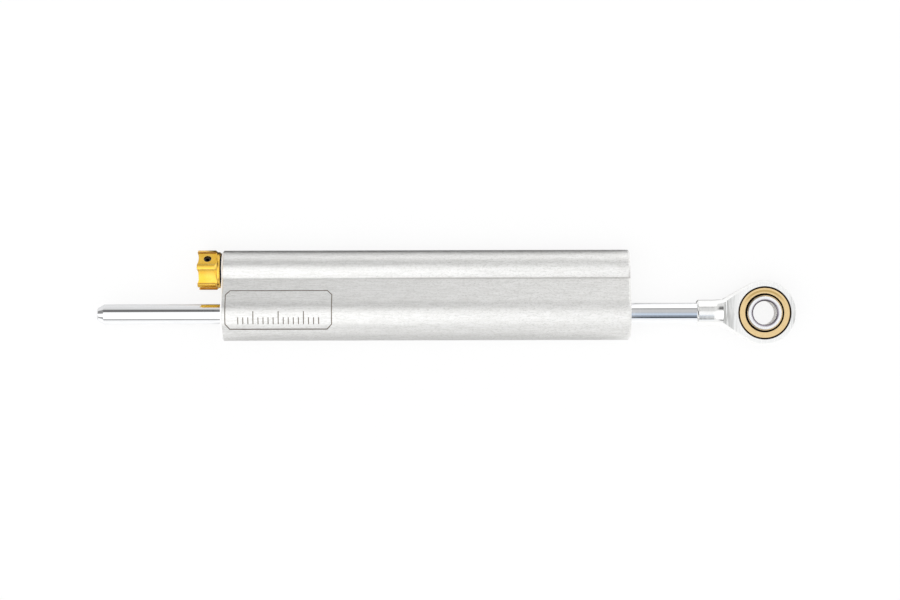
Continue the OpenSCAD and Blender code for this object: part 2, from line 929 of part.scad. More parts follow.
// Seals the rod inside the piston and turns with the rod
module piston_o_ring() {
    color([0.12, 0.12, 0.13])
        seal_ring(
            piston_x - rod_groove_half + ring_play, piston_x + rod_groove_half - ring_play,
            rod_groove_r + seat_gap, rod_r + run_gap / 2
        );
}

// Two clips that sit in the rod's grooves and hold the piston between them
module piston_clips() {
    clip_at = piston_l / 2 - piston_cup + run_gap;
    lobe = rod_r + rod_clip_wall;
    color([0.30, 0.31, 0.33])
        for (side = [-1, 1])
            translate([piston_x + side * (clip_at + rod_clip_t / 2) - rod_clip_t / 2, 0, 0])
                rotate([0, 90, 0])
                    linear_extrude(rod_clip_t)
                        difference() {
                            circle(lobe);
                            circle(rod_r - rod_clip_bite + seat_gap);
                            translate([0, -rod_clip_mouth / 2])
                                square([2 * lobe, rod_clip_mouth]);
                        }
}

module rod() {
    clip_at = piston_l / 2 - piston_cup + run_gap - rod_clip_play;
    x0 = -half_l - tail_l;
    x1 = rod_end_x + thread_l;
    thread_lead = 0.8;
    color([0.86, 0.87, 0.88])
        difference() {
            turned([
                [0, x0], [tip_r, x0], [tip_r + lead_edge, x0 + outer_edge],
                [rod_r, x0 + tip_l], [rod_r, x1 - thread_lead], [rod_r - thread_lead, x1], [0, x1]
            ]);
            translate([piston_x, 0, 0]) {
                for (side = [0, 1])
                    mirror([side, 0, 0])
                        ring(
                            clip_at, clip_at + rod_clip_t + 2 * rod_clip_play,
                            rod_r - rod_clip_bite, rod_r + 1
                        );
                ring(-rod_groove_half, rod_groove_half, rod_groove_r, rod_r + 1);
            }
        }
}

// The neck with its hollow flare, turned about the rod's axis
module rod_end_neck() {
    rotate([0, 90, 0])
        rotate_extrude()
            difference() {
                polygon([
                    [0, rod_end_x],
                    [neck_end_r - lead_edge, rod_end_x],
                    [neck_end_r, rod_end_x + lead_edge],
                    [neck_end_r, cone_x - flare_l],
                    [cone_r, cone_x],
                    [0, cone_x]
                ]);
                translate([neck_end_r + flare_r, cone_x - flare_l])
                    circle(flare_r);
            }
}

module rod_end() {
    // The cone starts a little inside the neck, so that the two join
    sink = 0.5;
    mouth = 0.5;
    thread_room = 0.4;
    tangent_r = eye_r * sin(tangent_angle);
    tangent_x = eye_x + eye_r * cos(tangent_angle);
    color([0.88, 0.88, 0.86])
        difference() {
            union() {
                rod_end_neck();
                intersection() {
                    union() {
                        translate([eye_x, 0, 0])
                            sphere(eye_r);
                        turned([
                            [0, cone_x - sink], [cone_r - lip_edge, cone_x - sink], [cone_r, cone_x],
                            [tangent_r, tangent_x], [0, tangent_x]
                        ]);
                    }
                    translate([cone_x - sink, -2 * eye_r, -eye_t / 2])
                        cube([4 * eye_r, 4 * eye_r, eye_t]);
                }
            }
            translate([eye_x, 0, -eye_t])
                cylinder(h = 2 * eye_t, r = race_seat_r);
            for (side = [-1, 1])
                translate([eye_x, 0, side * eye_t / 2])
                    rotate([90 - side * 90, 0, 0])
                        translate([0, 0, -mouth / 2])
                            cylinder(h = mouth, r1 = race_seat_r, r2 = race_seat_r + mouth);
            bar(rod_end_x - 1, rod_end_x + thread_l + thread_room, rod_r + seat_gap);
        }
}

module bearing_race() {
    face_edge = 0.35;
    mouth_sink = 1.1;
    mouth_rise = 1.7;
    color([0.83, 0.68, 0.36])
        translate([eye_x, 0, 0])
            difference() {
                rotate_extrude()
                    polygon([
                        [0, -race_w / 2], [race_r - face_edge, -race_w / 2],
                        [race_r, lead_edge - race_w / 2], [race_r, race_w / 2 - lead_edge],
                        [race_r - face_edge, race_w / 2], [0, race_w / 2]
                    ]);
                sphere(ball_r + run_gap);
                for (side = [-1, 1])
                    rotate([90 - side * 90, 0, 0])
                        translate([0, 0, race_w / 2 - face_edge])
                            cylinder(
                                h = 1, r1 = ball_r - mouth_sink, r2 = ball_r - mouth_sink + mouth_rise
                            );
            }
}

module bearing_ball() {
    bore = eye_bore_d / 2;
    color([0.90, 0.90, 0.91])
        translate([eye_x, 0, 0])
            difference() {
                intersection() {
                    sphere(ball_r);
                    translate([0, 0, -ball_w / 2])
                        cylinder(h = ball_w, r = 2 * ball_r);
                }
                translate([0, 0, -ball_w])
                    cylinder(h = 2 * ball_w, r = bore);
                for (side = [-1, 1])
                    rotate([90 - side * 90, 0, 0])
                        translate([0, 0, ball_w / 2 - ball_chamfer])
                            cylinder(h = 2 * ball_chamfer, r1 = bore, r2 = bore + 2 * ball_chamfer);
            }
}

// The housing screws into the adjuster bore and carries the spindle
module valve_housing() {
    out_r = valve_bore_r - seat_gap;
    color([0.74, 0.74, 0.75])
        on_adjuster_axis()
            difference() {
                chamfered_bar(-half_l, valve_end_x, out_r, edge);
                bar(-half_l - 1, valve_end_x, stem_bore_r);
                bar(drum_x - run_gap, valve_end_x + 1, chamber_r);
                ring(
                    port_left_x - valve_groove_half, port_left_x + valve_groove_half,
                    chamber_r + oil_groove_wall, out_r + 1
                );
                for (x = valve_ring_places())
                    ring(x - valve_ring_w / 2, x + valve_ring_w / 2, valve_ring_floor, out_r + 1);
                translate([port_left_x, 0, 0])
                    rotate([90, 0, 0])
                        cylinder(h = 2 * out_r, r = meter_r);
                translate([0, detent_at, 0])
                    bar(-half_l - 1, -half_l + detent_depth, detent_r + run_gap);
            }
}

// Both sides of the housing's oil groove
function valve_ring_places() = [
    port_left_x - valve_groove_half - valve_land_out,
    port_left_x + valve_groove_half + valve_land_in
];

module valve_o_rings() {
    color([0.12, 0.12, 0.13])
        on_adjuster_axis()
            for (x = valve_ring_places())
                seal_ring(
                    x - valve_ring_w / 2 + ring_play, x + valve_ring_w / 2 - ring_play,
                    valve_ring_floor + seat_gap, valve_bore_r - seat_gap
                );
}

// The rotary spindle: holes of falling size stand round its drum, and one meets the left port
module metering_spindle() {
    proud = 0.2;
    end_x = knob_end_x + dish_depth - proud;
    drum_bore_r = drum_r - drum_wall;
    slot_w = 0.8;
    slot_depth = 0.8;
    color([0.76, 0.77, 0.78])
        on_adjuster_axis()
            difference() {
                turned([
                    [0, end_x], [neck_r - edge, end_x], [neck_r, end_x + edge],
                    [neck_r, knob_x + lip_edge], [stem_r, knob_x + lip_edge],
                    [stem_r, spindle_ring_x - spindle_groove_half],
                    [spindle_groove_r, spindle_ring_x - spindle_groove_half],
                    [spindle_groove_r, spindle_ring_x + spindle_groove_half],
                    [stem_r, spindle_ring_x + spindle_groove_half],
                    [stem_r, drum_x], [drum_r, drum_x], [drum_r, drum_end_x], [0, drum_end_x]
                ]);
                bar(port_left_x - 2, drum_end_x + 1, drum_bore_r);
                for (step = [0 : meter_holes - 1])
                    translate([port_left_x, 0, 0])
                        rotate([90 + step * click_angle * clicks / meter_holes, 0, 0])
                            cylinder(h = drum_r + 1, r = meter_r * (1 - meter_fall * step));
                translate([end_x - 1, -slot_w / 2, -2 * neck_r])
                    cube([slot_depth + 1, slot_w, 4 * neck_r]);
            }
}

module spindle_o_ring() {
    color([0.12, 0.12, 0.13])
        on_adjuster_axis()
            seal_ring(
                spindle_ring_x - spindle_groove_half + ring_play,
                spindle_ring_x + spindle_groove_half - ring_play,
                spindle_groove_r + seat_gap, stem_r + run_gap / 2
            );
}

module detent_ball() {
    color([0.85, 0.85, 0.86])
        on_adjuster_axis()
            translate([detent_x, detent_at, 0])
                sphere(detent_r, $fn = 32);
}

module detent_spring() {
    color([0.42, 0.43, 0.46])
        on_adjuster_axis()
            translate([0, detent_at, 0])
                coil(
                    detent_x + detent_r, -half_l + detent_depth - seat_gap,
                    detent_spring_r, detent_wire, detent_turns, 8, 4
                );
}

module knob_washer() {
    color([0.07, 0.07, 0.08])
        on_adjuster_axis()
            ring(-half_l - washer_t, -half_l, valve_bore_r + free_gap, washer_r);
}

// The teeth and flutes, with a flat land where the set screw sits
module knob_section() {
    difference() {
        circle(knob_r + 1);
        for (i = [1 : knob_teeth - 1])
            rotate(i * 360 / knob_teeth)
                intersection() {
                    translate([flute_floor + flute_cut_r, 0])
                        circle(flute_cut_r);
                    translate([0, -flute_edge_y])
                        square([2 * knob_r, 2 * flute_edge_y]);
                }
        translate([flute_wall_x, -flute_edge_y])
            square([2 * knob_r, 2 * flute_edge_y]);
    }
}

module adjuster_knob() {
    fluted_x = knob_x - flange_l;
    track_r = detent_r + detent_room;
    root_r = flute_floor - root_step;
    color([0.90, 0.72, 0.30])
        on_adjuster_axis()
            at_knob_angle(grub_angle)
                difference() {
                    union() {
                        intersection() {
                            translate([knob_end_x, 0, 0])
                                rotate([0, 90, 0])
                                    rotate([0, 0, 180])
                                        linear_extrude(knob_l)
                                            knob_section();
                            turned([
                                [0, knob_end_x + dish_depth],
                                [knob_r - dish_rim - dish_depth + tooth_tip, knob_end_x + dish_depth],
                                [knob_r - dish_rim, knob_end_x + tooth_tip],
                                [flute_wall_x, knob_end_x + tooth_tip],
                                [knob_r - tooth_wall, knob_end_x],
                                [knob_r - lip_edge, knob_end_x],
                                [knob_r, knob_end_x + lip_edge],
                                [knob_r, fluted_x - tooth_chamfer],
                                [knob_r - tooth_chamfer, fluted_x],
                                [0, fluted_x]
                            ]);
                        }
                        turned([
                            [0, fluted_x - lead_edge],
                            [root_r, fluted_x - lead_edge],
                            [root_r, fluted_x],
                            [flange_r, fluted_x],
                            [flange_r, knob_x - outer_edge],
                            [flange_r - outer_edge, knob_x],
                            [0, knob_x]
                        ]);
                    }
                    bar(knob_end_x - 1, knob_x + 1, neck_r + seat_gap);
                    bar(knob_x - lip_edge - seat_gap, knob_x + 1, stem_r + free_gap);
                    translate([grub_x, 0, 0])
                        cylinder(h = 2 * knob_r, r = grub_r + seat_gap);
                    rotate([0, 90, 0])
                        rotate_extrude()
                            translate([detent_at, detent_x])
                                circle(track_r, $fn = 32);
                    for (i = [0 : clicks])
                        rotate([i * click_angle - clicks * click_angle / 2, 0, 0])
                            translate([0, detent_at, 0])
                                bar(detent_x - track_r - lip_edge, knob_x + 1, detent_r / 2);
                }
}

module knob_set_screw() {
    depth = neck_r + grub_l;
    socket_depth = 1.6;
    color([0.25, 0.25, 0.27])
        on_adjuster_axis()
            at_knob_angle(grub_angle)
                translate([grub_x, 0, 0])
                    difference() {
                        translate([0, 0, neck_r + seat_gap])
                            cylinder(h = depth - neck_r - seat_gap, r = grub_r, $fn = 48);
                        translate([0, 0, depth - socket_depth])
                            cylinder(h = 2, r = grub_r / 2 / cos(30), $fn = 6);
                    }
}

module gallery_plug() {
    out_r = plug_r - seat_gap;
    color([0.74, 0.74, 0.75])
        on_adjuster_axis()
            difference() {
                turned([
                    [0, plug_x], [out_r - edge, plug_x], [out_r, plug_x + edge],
                    [out_r, plug_ring_x - plug_groove_half],
                    [plug_groove_r, plug_ring_x - plug_groove_half],
                    [plug_groove_r, plug_ring_x + plug_groove_half],
                    [out_r, plug_ring_x + plug_groove_half],
                    [out_r, plug_end_x - outer_edge], [out_r - outer_edge, plug_end_x], [0, plug_end_x]
                ]);
                translate([plug_end_x - plug_key_depth, 0, 0])
                    rotate([0, 90, 0])
                        cylinder(h = plug_key_depth + 1, r = plug_key / 2 / cos(30), $fn = 6);
            }
}

module plug_o_ring() {
    color([0.12, 0.12, 0.13])
        on_adjuster_axis()
            seal_ring(
                plug_ring_x - plug_groove_half + ring_play, plug_ring_x + plug_groove_half - ring_play,
                plug_groove_r + seat_gap, plug_r - seat_gap
            );
}

cylinder_body();
seal_head_left();
seal_head_right();
rod_bush_left();
rod_bush_right();
rod_seal_left();
rod_seal_right();
wiper_left();
wiper_right();
head_o_ring_left();
head_o_ring_right();
head_circlip_left();
head_circlip_right();
bump_ring_left();
bump_ring_right();
bulkhead();
bulkhead_bush();
bulkhead_o_ring();
bulkhead_circlip();
floating_piston();
float_o_ring_outer();
float_o_ring_inner();
compensator_spring();
piston();
piston_ring();
piston_o_ring();
piston_clips();
rod();
rod_end();
bearing_race();
bearing_ball();
valve_housing();
valve_o_rings();
metering_spindle();
spindle_o_ring();
detent_ball();
detent_spring();
knob_washer();
adjuster_knob();
knob_set_screw();
gallery_plug();
plug_o_ring();
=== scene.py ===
"""Looks of the steering damper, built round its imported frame."""
import json
import math

import bpy
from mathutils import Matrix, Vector


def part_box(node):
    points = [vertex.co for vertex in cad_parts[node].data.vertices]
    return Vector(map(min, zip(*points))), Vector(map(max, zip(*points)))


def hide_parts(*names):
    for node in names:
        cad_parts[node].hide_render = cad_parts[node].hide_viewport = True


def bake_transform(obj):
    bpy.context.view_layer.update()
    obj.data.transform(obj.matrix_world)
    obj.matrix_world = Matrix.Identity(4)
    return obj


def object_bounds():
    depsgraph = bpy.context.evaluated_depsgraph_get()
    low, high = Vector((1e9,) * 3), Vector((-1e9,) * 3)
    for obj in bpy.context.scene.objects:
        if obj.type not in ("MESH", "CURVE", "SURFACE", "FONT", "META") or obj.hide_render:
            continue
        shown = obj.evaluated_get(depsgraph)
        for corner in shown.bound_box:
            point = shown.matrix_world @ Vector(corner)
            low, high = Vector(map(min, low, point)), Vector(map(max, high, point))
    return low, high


MM = 0.001
WHITE = (1.0, 1.0, 1.0)

# The photograph looks straight down on the damper
PHOTO_WIDTH_MM = 360
CAMERA_HEIGHT_MM = 950
CAMERA_X_MM = 9.6
CAMERA_Y_MM = 5.42
CAMERA_ROLL_DEG = -0.14
SENSOR_MM = 36
CLIP_M = (0.01, 100)

# The body's section, by which its engraving and its crease are found
BODY_R_MM = 10.7
FLANK_SLOPE_DEG = 20.3
CREASE_Y_MM = 14.15
CREASE_HALF_MM = 0.3
CREASE_SOFT_MM = 0.2
END_CHAMFER_MM = 1.2
# The engraved lines are dark between these two depths below the surface, each a soft step
LINE_TOP_MM = (0.04, 0.12)
LINE_FLOOR_MM = (0.3, 0.6)
LINE_TO_CREASE_MM = 0.4
# How round the body's and the knob's edges look
EDGE_MM = 0.15

SPRING_WIRE_MM = 1.1
SPRING_TURNS = 7
WIRE_SIDES = 16
TURN_STEPS = 48
SMOOTH_DEG = 40

FLOOR_HALF_M = 12
TABLE_GAP_MM = 0.02
TABLE_BRIGHT = 0.95
# How far the table glows by itself where the camera looks at it
TABLE_GLOW = 0.86
SUN_STRENGTH = 0.6
SUN_SPREAD_DEG = 60
SUN_TILT_DEG = (12, -10, 0)

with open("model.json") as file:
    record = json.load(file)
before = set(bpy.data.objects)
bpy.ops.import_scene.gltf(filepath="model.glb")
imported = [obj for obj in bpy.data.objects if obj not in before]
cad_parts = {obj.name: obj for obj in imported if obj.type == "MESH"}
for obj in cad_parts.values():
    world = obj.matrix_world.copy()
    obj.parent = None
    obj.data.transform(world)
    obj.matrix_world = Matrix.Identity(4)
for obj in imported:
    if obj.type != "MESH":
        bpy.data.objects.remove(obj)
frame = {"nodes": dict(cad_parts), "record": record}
nodes = frame["nodes"]
cad_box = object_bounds()
body_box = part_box("cylinder_body")
washer_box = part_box("knob_washer")
ball_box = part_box("bearing_ball")
BODY_LEFT_MM = body_box[0].x / MM
BODY_RIGHT_MM = body_box[1].x / MM
EYE_X_MM = (ball_box[0].x + ball_box[1].x) / 2 / MM
# The angle by which the valve's lobe stands lower than the cylinder's
LEAN = math.atan2(-(washer_box[0].z + washer_box[1].z), washer_box[0].y + washer_box[1].y)
bpy.ops.object.select_all(action="DESELECT")


class Nodes:
    """Short calls for building one node tree."""

    def __init__(self, tree):
        self.tree = tree
        tree.nodes.clear()

    def add(self, kind, **values):
        node = self.tree.nodes.new(kind)
        for key, value in values.items():
            setattr(node, key, value)
        return node

    def put(self, value, socket):
        if isinstance(value, bpy.types.NodeSocket):
            self.tree.links.new(value, socket)
        else:
            socket.default_value = value

    def math(self, operation, a, b=0.0, c=0.0):
        node = self.add("ShaderNodeMath", operation=operation)
        for value, socket in zip((a, b, c), node.inputs):
            self.put(value, socket)
        return node.outputs[0]

    def span(self, value, low, high, to_low=0.0, to_high=1.0, smooth=True):
        """Goes from to_low to to_high while value goes from low to high, and stays there."""
        step = "SMOOTHSTEP" if smooth else "LINEAR"
        node = self.add("ShaderNodeMapRange", interpolation_type=step)
        for number, socket in zip((value, low, high, to_low, to_high), node.inputs):
            self.put(number, socket)
        return node.outputs[0]

    def mix(self, share, a, b):
        """Colour a where share is 0, and b where it is 1."""
        node = self.add("ShaderNodeMix", data_type="RGBA")
        self.put(share, node.inputs[0])
        self.put(a, node.inputs[6])
        self.put(b, node.inputs[7])
        return node.outputs[2]

    def place(self, scale=(1, 1, 1), centre=(0, 0, 0)):
        """The piece's own coordinates in millimetres, stretched by scale."""
        where = self.add("ShaderNodeTexCoord").outputs["Object"]
        shift = self.add("ShaderNodeMapping", vector_type="POINT")
        shift.inputs["Location"].default_value = [-c * s for c, s in zip(centre, scale)]
        shift.inputs["Scale"].default_value = [s / MM for s in scale]
        self.put(where, shift.inputs["Vector"])
        return shift.outputs[0]

    def axes(self, vector):
        """The three parts of a vector."""
        node = self.add("ShaderNodeSeparateXYZ")
        self.put(vector, node.inputs[0])
        return node.outputs["X"], node.outputs["Y"], node.outputs["Z"]

    def length(self, a, b):
        """The length of a flat vector with the parts a and b."""
        return self.math("SQRT", self.math("MULTIPLY_ADD", a, a, self.math("MULTIPLY", b, b)))

    def band(self, value, low, high, soft):
        """1 between low and high, 0 outside, with both edges soft."""
        rise = self.span(value, low - soft, low + soft)
        fall = self.span(value, high - soft, high + soft, 1.0, 0.0)
        return self.math("MULTIPLY", rise, fall)

    def noise(self, where, detail=3, rough=0.5):
        node = self.add("ShaderNodeTexNoise")
        self.put(where, node.inputs["Vector"])
        node.inputs["Scale"].default_value = 1.0
        node.inputs["Detail"].default_value = detail
        node.inputs["Roughness"].default_value = rough
        return node.outputs["Fac"]

    def soft_edges(self, radius_mm):
        """A normal that runs round the piece's edges, as a light deburring does."""
        node = self.add("ShaderNodeBevel", samples=4)
        node.inputs["Radius"].default_value = radius_mm * MM
        return node.outputs[0]

    def edge_highlight(self, radius_mm):
        """1 on the piece's edges, 0 on its faces: where a painted highlight goes."""
        node = self.add("ShaderNodeVectorMath", operation="DOT_PRODUCT")
        self.put(self.soft_edges(radius_mm), node.inputs[0])
        self.put(self.add("ShaderNodeNewGeometry").outputs["Normal"], node.inputs[1])
        return self.span(node.outputs["Value"], 0.88, 0.99, 1.0, 0.0)

    def corner_shade(self, reach_mm):
        """1 on open surfaces, less in inner corners: the measure by which shade is painted into
        corners.
        """
        node = self.add("ShaderNodeAmbientOcclusion", samples=4, only_local=True)
        node.inputs["Distance"].default_value = reach_mm * MM
        return node.outputs["AO"]

    def bump(self, height, depth_mm, below=None):
        node = self.add("ShaderNodeBump")
        node.inputs["Strength"].default_value = 1.0
        node.inputs["Distance"].default_value = depth_mm * MM
        self.put(height, node.inputs["Height"])
        if below is not None:
            self.put(below, node.inputs["Normal"])
        return node.outputs[0]


def colour(rgb):
    return (*rgb, 1.0)


def material(name, rgb, metallic, roughness):
    """A material with one shader, and the calls to add to its tree."""
    made = bpy.data.materials.new(name)
    made.use_nodes = True
    n = Nodes(made.node_tree)
    n.shader = n.add("ShaderNodeBsdfPrincipled")
    n.output = n.add("ShaderNodeOutputMaterial")
    n.put(n.shader.outputs[0], n.output.inputs["Surface"])
    n.shader.inputs["Base Color"].default_value = colour(rgb)
    n.shader.inputs["Metallic"].default_value = metallic
    n.shader.inputs["Roughness"].default_value = roughness
    return made, n


def finish_surface(n, tint=None, roughness=None, normal=None):
    """Joins what is given to the material's shader."""
    for value, name in ((tint, "Base Color"), (roughness, "Roughness"), (normal, "Normal")):
        if value is not None:
            n.put(value, n.shader.inputs[name])


def engraved(n):
    """1 inside the engraved lines of the cylinder's lobe and of the flank beside it, else 0."""
    x, y, z = n.axes(n.place())
    slope = math.radians(FLANK_SLOPE_DEG) + LEAN
    out = n.length(y, z)
    flank = n.math("MULTIPLY_ADD", y, math.sin(slope), n.math("MULTIPLY", z, math.cos(slope)))
    past = n.math(
        "SUBTRACT", n.math("MULTIPLY", y, math.cos(slope)), n.math("MULTIPLY", z, math.sin(slope))
    )
    on_flank = n.math("GREATER_THAN", past, 0.0)
    reach = n.math("MULTIPLY_ADD", on_flank, n.math("SUBTRACT", flank, out), out)
    depth = n.math("SUBTRACT", BODY_R_MM, reach)
    cut = n.math("MULTIPLY", n.span(depth, *LINE_TOP_MM), n.span(depth, *LINE_FLOOR_MM, 1.0, 0.0))
    for limit in (
        n.math("GREATER_THAN", x, BODY_LEFT_MM + END_CHAMFER_MM),
        n.math("LESS_THAN", x, BODY_RIGHT_MM - END_CHAMFER_MM),
        n.math("LESS_THAN", y, CREASE_Y_MM - LINE_TO_CREASE_MM),
    ):
        cut = n.math("MULTIPLY", cut, limit)
    return cut


def crease_shade(n):
    """1 along the upper inner corner between the flank and the valve lobe, else 0: where a painted
    shade line runs.
    """
    x, y, z = n.axes(n.place())
    near = n.band(y, CREASE_Y_MM - CREASE_HALF_MM, CREASE_Y_MM + CREASE_HALF_MM, CREASE_SOFT_MM)
    near = n.math("MULTIPLY", near, n.span(x, -50, 10, 0.1, 1.0))
    return n.math("MULTIPLY", near, n.math("GREATER_THAN", z, 0.0))


def drawn_aluminium():
    """The body: extruded along X, so its grain runs that way, with handling marks.

    Its left end is cut off clean and duller than the skin, and is painted white and less metallic:
    a painted highlight on the cut end.
    """
    made, n = material("drawn_aluminium", (0.85, 0.84, 0.82), 1.0, 0.4)
    x = n.axes(n.place())[0]
    grain = n.noise(n.place((0.03, 5.0, 5.0)), detail=4, rough=0.6)
    marks = n.noise(n.place((0.5, 1.1, 1.1)), detail=5, rough=0.65)
    fine = n.noise(n.place((6.0, 6.0, 6.0)), detail=2)
    streaks = n.noise(n.place((0.14, 1.5, 1.5)), detail=5, rough=0.7)
    speckle = n.noise(n.place((0.9, 2.5, 2.5)), detail=6, rough=0.75)
    # The skin is rougher towards the right end
    tumbled = n.span(x, -50, 30, 0.45, 0.62)
    pits = n.math("MULTIPLY", n.span(speckle, 0.38, 0.52, 1.0, 0.0), tumbled)
    # Painted highlight: the cut left end and its chamfer are painted white
    end = n.span(x, BODY_LEFT_MM + 0.3, BODY_LEFT_MM + 0.9, 1.0, 0.0)
    cut = engraved(n)

    tint = n.mix(grain, colour((0.83, 0.825, 0.81)), colour((0.92, 0.92, 0.91)))
    tint = n.mix(n.span(marks, 0.5, 0.7, 0.0, 0.4), tint, colour((0.97, 0.97, 0.97)))
    tint = n.mix(n.span(streaks, 0.42, 0.56, 0.35, 0.0), tint, colour((0.68, 0.675, 0.655)))
    tint = n.mix(pits, tint, colour((0.60, 0.595, 0.575)))
    # Painted highlight on the left end
    tint = n.mix(end, tint, colour(WHITE))
    tint = n.mix(cut, tint, colour((0.27, 0.23, 0.19)))
    # Painted shade: a dark line along the corner between the flank and the valve lobe, fading out
    # to the left
    tint = n.mix(n.math("MULTIPLY", crease_shade(n), 0.55), tint, colour((0.42, 0.41, 0.39)))

    rough = n.math("ADD", n.span(grain, 0.3, 0.7, 0.33, 0.42), n.span(marks, 0.45, 0.7, 0.0, 0.07))
    rough = n.math("ADD", rough, n.span(x, -10, 70, 0.0, 0.05))
    rough = n.math("MAXIMUM", rough, n.math("MULTIPLY", n.math("MAXIMUM", cut, end), 0.6))
    normal = n.bump(n.math("MULTIPLY", speckle, tumbled), 0.08, n.soft_edges(EDGE_MM))
    normal = n.bump(fine, 0.004, n.bump(streaks, 0.014, normal))
    # Less metal on the left end, so that its painted highlight shows white
    n.put(n.math("SUBTRACT", 1.0, n.math("MULTIPLY", end, 0.85)), n.shader.inputs["Metallic"])
    finish_surface(n, tint, rough, normal)
    return made


def gold_anodising():
    """The knob: a painted highlight on its edges, and painted shade in its inner corners."""
    made, n = material("gold_anodising", (0.90, 0.58, 0.13), 1.0, 0.3)
    grain = n.noise(n.place((4.0, 4.0, 4.0)), detail=3)
    cloud = n.noise(n.place((0.25, 0.25, 0.25)), detail=2)
    tint = n.mix(n.span(cloud, 0.35, 0.65), colour((0.94, 0.56, 0.07)), colour((0.97, 0.615, 0.11)))
    # Painted highlight: the knob's edges are painted a paler gold
    tint = n.mix(n.edge_highlight(0.18), tint, colour((1.0, 0.80, 0.34)))
    # Painted shade: the knob's inner corners are painted dark brown
    tint = n.mix(n.span(n.corner_shade(2.4), 0.50, 1.0), colour((0.20, 0.06, 0.003)), tint)
    normal = n.bump(grain, 0.003, n.soft_edges(EDGE_MM))
    finish_surface(n, tint, n.span(grain, 0.3, 0.7, 0.15, 0.25), normal)
    return made


def hard_chrome():
    """The rod: ground, with rings too fine to see one by one."""
    made, n = material("hard_chrome", (0.90, 0.905, 0.915), 1.0, 0.04)
    rings = n.noise(n.place((9.0, 0.4, 0.4)), detail=2)
    finish_surface(n, roughness=n.span(rings, 0.3, 0.7, 0.03, 0.07), normal=n.bump(rings, 0.0002))
    return made


def milled_steel():
    """The rod end: polished by turning, with cutter lines across its two flats."""
    made, n = material("milled_steel", (0.88, 0.88, 0.87), 1.0, 0.2)
    facing = n.axes(n.add("ShaderNodeTexCoord").outputs["Normal"])[2]
    flat = n.span(n.math("ABSOLUTE", facing), 0.985, 0.998)
    lines = n.noise(n.place((3.2, 0.06, 0.5)), rough=0.6)
    x, y, _ = n.axes(n.place(centre=(EYE_X_MM, 0, 0)))
    radius = n.length(x, y)
    # The cutter lines show most near the neck and, less, at the far end
    worn = n.math("ADD", n.span(x, -16.5, -9, 0.95, 0.1), n.span(x, 9, 12.5, 0.0, 0.5))
    worn = n.math("MULTIPLY", worn, n.span(x, -18.0, -16.0))
    worn = n.math("MULTIPLY", n.math("MULTIPLY", worn, flat), n.span(lines, 0.35, 0.62))
    tint = n.mix(worn, colour((0.92, 0.92, 0.91)), colour((0.22, 0.22, 0.21)))
    # Painted shade: a dark ring on the rod end round the gap at the race's edge
    tint = n.mix(n.span(radius, 10.45, 10.75, 1.0, 0.0), tint, colour((0.05, 0.02, 0.01)))
    turned = n.noise(n.place((5.0, 0.3, 0.3)), detail=2)
    height = n.mix(flat, n.math("MULTIPLY", turned, 0.15), lines)
    rough = n.mix(flat, n.span(turned, 0.3, 0.7, 0.10, 0.18), n.span(lines, 0.3, 0.7, 0.26, 0.38))
    finish_surface(n, tint, rough, n.bump(height, 0.012))
    return made


def turned_metal(name, rgb, roughness):
    """A piece turned about the X axis."""
    made, n = material(name, rgb, 1.0, roughness)
    rings = n.noise(n.place((7.0, 0.2, 0.2)), detail=3)
    finish_surface(
        n,
        tint=n.mix(rings, colour([c * 0.94 for c in rgb]), colour([min(1, c * 1.05) for c in rgb])),
        roughness=n.span(rings, 0.3, 0.7, roughness * 0.85, roughness * 1.25),
        normal=n.bump(rings, 0.002),
    )
    return made


# Painted shade on the bearing, with one painted reflection: dark rings in the gaps between eye,
# race and ball and round the ball's bore, a darker arc on the race and on the ball, and a lilac
# grey ring on the ball's bore chamfer, which is the painted reflection. Each is (from radius, to
# radius, colour). The rings go all the way round the eye's axis, and the arcs only round the half
# towards +Y.
RACE_SHADE_RINGS = ((9.92, 10.8, (0.07, 0.02, 0.005)), (6.5, 7.75, (0.03, 0.015, 0.005)))
RACE_SHADE_ARCS = ((8.4, 9.2, (0.55, 0.38, 0.15)),)
BALL_SHADE_AND_SHEEN_RINGS = (
    (7.0, 8.4, (0.015, 0.013, 0.012)),
    (4.92, 5.5, (0.46, 0.42, 0.48)),
    (4.79, 4.95, (0.05, 0.045, 0.05)),
)
BALL_SHADE_ARCS = ((4.8, 5.1, (0.02, 0.02, 0.02)),)


def bearing_metal(name, rgb, roughness, depth, shade_and_sheen_rings, shade_arcs):
    """A piece turned about the eye's axis, with its painted shade and sheen."""
    made, n = material(name, rgb, 1.0, roughness)
    x, y, z = n.axes(n.place(centre=(EYE_X_MM, 0, 0)))
    radius = n.length(x, y)
    spot = n.add("ShaderNodeCombineXYZ")
    n.put(n.math("MULTIPLY", radius, 6.0), spot.inputs["X"])
    n.put(n.math("MULTIPLY", z, 3.0), spot.inputs["Z"])
    rings = n.noise(spot.outputs[0], detail=3)
    cloud = n.noise(n.place((0.5, 0.5, 0.5)), detail=3)
    tint = n.mix(rings, colour([c * 0.94 for c in rgb]), colour([min(1, c * 1.05) for c in rgb]))
    tint = n.mix(n.span(cloud, 0.45, 0.7, 0.0, 0.3), tint, colour([c * 0.8 for c in rgb]))
    rough = n.span(rings, 0.3, 0.7, roughness * 0.85, roughness * 1.25)
    # Painted shade rings, and on the ball a painted reflection ring
    for low, high, painted_tone in shade_and_sheen_rings:
        ring = n.band(radius, low, high, 0.06)
        tint = n.mix(ring, tint, colour(painted_tone))
        rough = n.math("MAXIMUM", rough, n.math("MULTIPLY", ring, 0.45))
    # Painted shade arcs, only on the half towards +Y
    upper = n.span(n.math("DIVIDE", y, radius), 0.3, 0.9)
    for low, high, painted_tone in shade_arcs:
        arc = n.math("MULTIPLY", n.band(radius, low, high, 0.1), upper)
        tint = n.mix(arc, tint, colour(painted_tone))
    finish_surface(n, tint, rough, n.bump(rings, depth))
    return made


